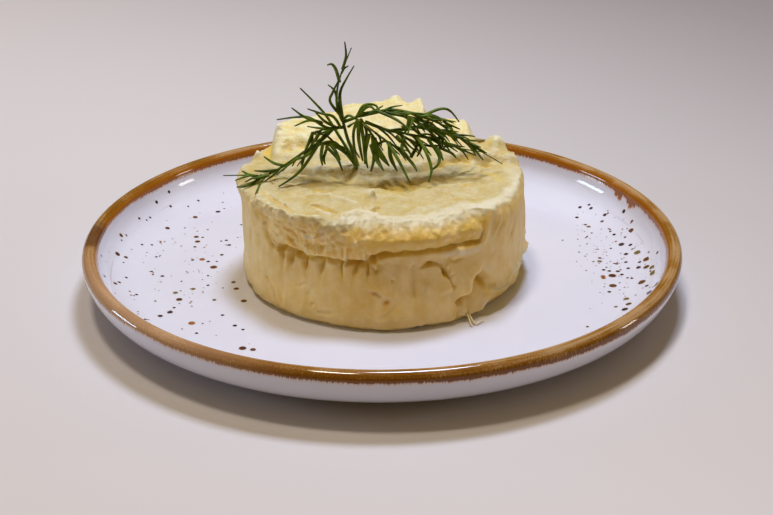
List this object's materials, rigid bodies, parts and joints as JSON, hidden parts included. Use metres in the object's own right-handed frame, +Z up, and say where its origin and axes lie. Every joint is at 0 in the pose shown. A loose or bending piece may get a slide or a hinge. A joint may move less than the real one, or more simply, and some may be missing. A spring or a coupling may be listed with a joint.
{
  "type": "mashed potato side on its plate",
  "caption": "A side of mashed potato, shaped in a ring mould and torn open along its front and top, with a sprig of dill planted in it, served on a small speckled plate with a brown rim.",
  "frame": {"origin": "on the table under the middle of the plate", "axes": "+Z up, +X to the diner's right, and the torn front of the mash faces -Y"},
  "size_m": [0.217, 0.217, 0.0901],
  "materials": {
    "plate_glaze": "glossy white glaze, a band of streaky brown glaze over the rim, two fields of dark plum and rust speckles",
    "mashed_potato": "moist cream to pale yellow mash, smooth where the mould held it and rough where it tore",
    "dill": "fresh dark green thread leaves with a soft sheen, paler at the foot of the stem"
  },
  "bodies": {
    "root": {"plate": "plate_glaze", "mash": "mashed_potato", "dill_sprig": "dill"}
  },
  "joints": []
}
